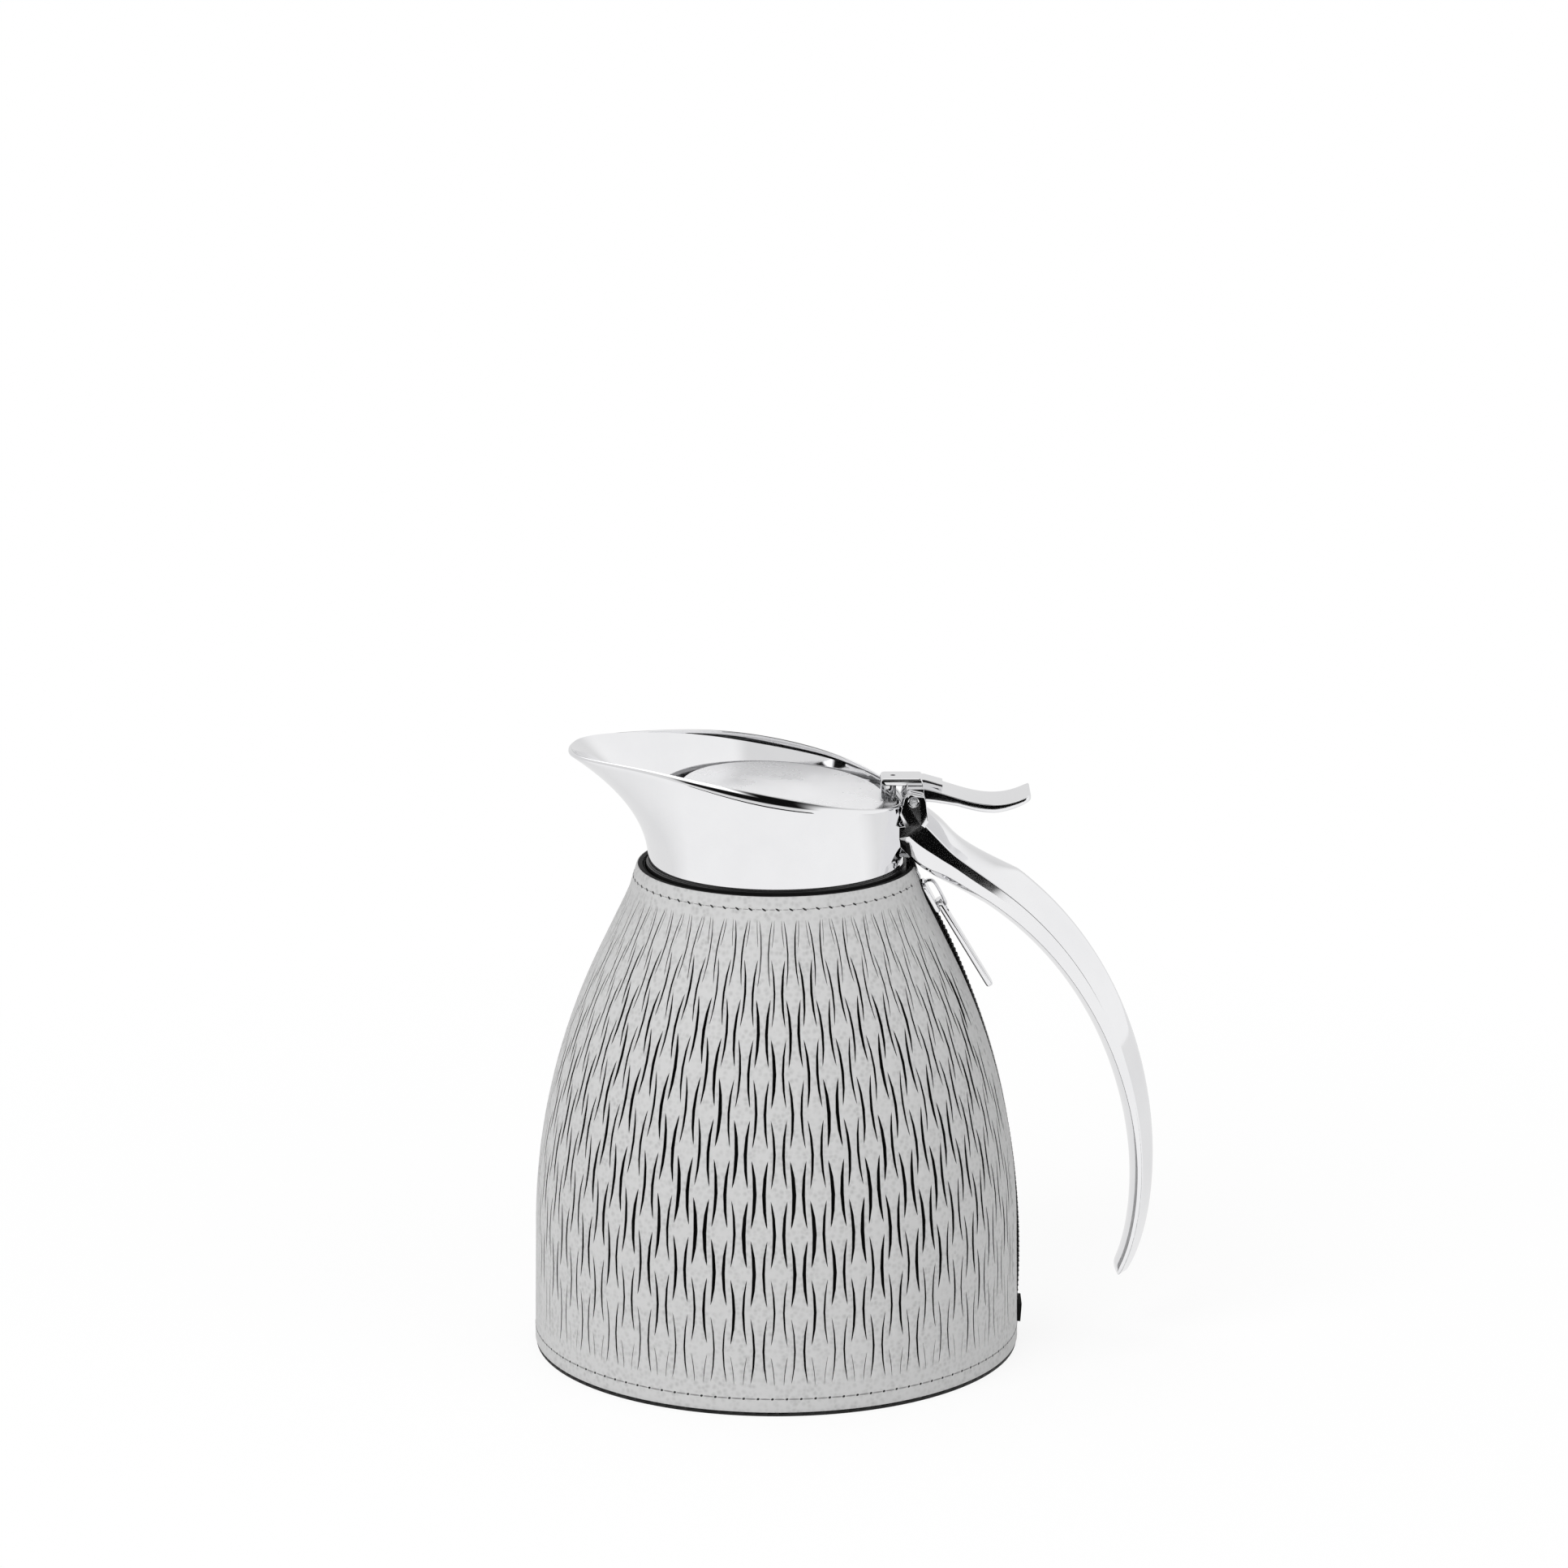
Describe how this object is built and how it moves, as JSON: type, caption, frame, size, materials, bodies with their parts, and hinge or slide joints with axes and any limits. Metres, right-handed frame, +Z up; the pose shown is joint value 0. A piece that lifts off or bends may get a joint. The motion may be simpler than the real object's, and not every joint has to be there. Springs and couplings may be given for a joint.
{
  "type": "coffee pot",
  "caption": "Insulated coffee pot: vacuum flask in a zipped slit-leather cover, chrome pouring collar with spout, sprung lid on a thumb lever, and open-ended chrome handle.",
  "frame": {"origin": "centre of the base, on the surface the pot stands on", "axes": "+Z up, spout towards -X, handle and zip towards +X"},
  "size_m": [0.1595, 0.125, 0.1568],
  "materials": {
    "leather": "grey pebbled leather with rows of short slits",
    "lining": "black woven lining",
    "base_board": "black board",
    "zip_tape": "black woven tape",
    "zip_teeth": "black nylon coil",
    "steel": "bright steel",
    "chrome": "polished chrome",
    "black_plastic": "fine matt black",
    "silvered_glass": "silvered glass",
    "rubber": "soft black rubber",
    "silicone": "translucent white silicone"
  },
  "bodies": {
    "pot": {"leather_wrap": "leather", "cover_lining": "lining", "cover_base": "base_board", "zip_tape_front": "zip_tape", "zip_tape_back": "zip_tape", "zip_coil_front": "zip_teeth", "zip_coil_back": "zip_teeth", "zip_top_stops": "steel", "zip_bottom_tab": "zip_tape", "flask_shell": "black_plastic", "flask_base_cap": "black_plastic", "liner_outer": "silvered_glass", "liner_inner": "silvered_glass", "liner_support": "rubber", "liner_mouth_seal": "silicone", "neck_ring": "steel", "collar": "chrome", "pour_insert": "chrome", "handle": "chrome", "handle_screws": "steel", "hinge_pin": "steel"},
    "lid": {"thumb_lever": "chrome", "lid_bridge": "chrome", "lid_post": "steel", "lid_plate": "chrome", "lid_stopper": "black_plastic", "stopper_seal": "silicone", "stopper_screw": "steel", "return_spring": "steel"},
    "slider": {"zip_slider": "chrome"},
    "puller": {"zip_puller": "chrome"}
  },
  "joints": [
    {"name": "lid_hinge", "type": "hinge", "parent": "pot", "child": "lid", "pos_m": [0.03465, 0, 0.14465], "axis": [0, 1, 0], "range_deg": [0, 26], "stiffness_Nm_per_rad": 0.06, "springref_deg": -34.38},
    {"name": "zip_run", "type": "hinge", "parent": "pot", "child": "slider", "pos_m": [-0.1425, 0, 0.0219], "axis": [0, 1, 0], "range_deg": [0, 25]},
    {"name": "puller_swing", "type": "hinge", "parent": "slider", "child": "puller", "pos_m": [0.04152, 0, 0.11653], "axis": [0, -1, 0], "range_deg": [0, 25]}
  ]
}
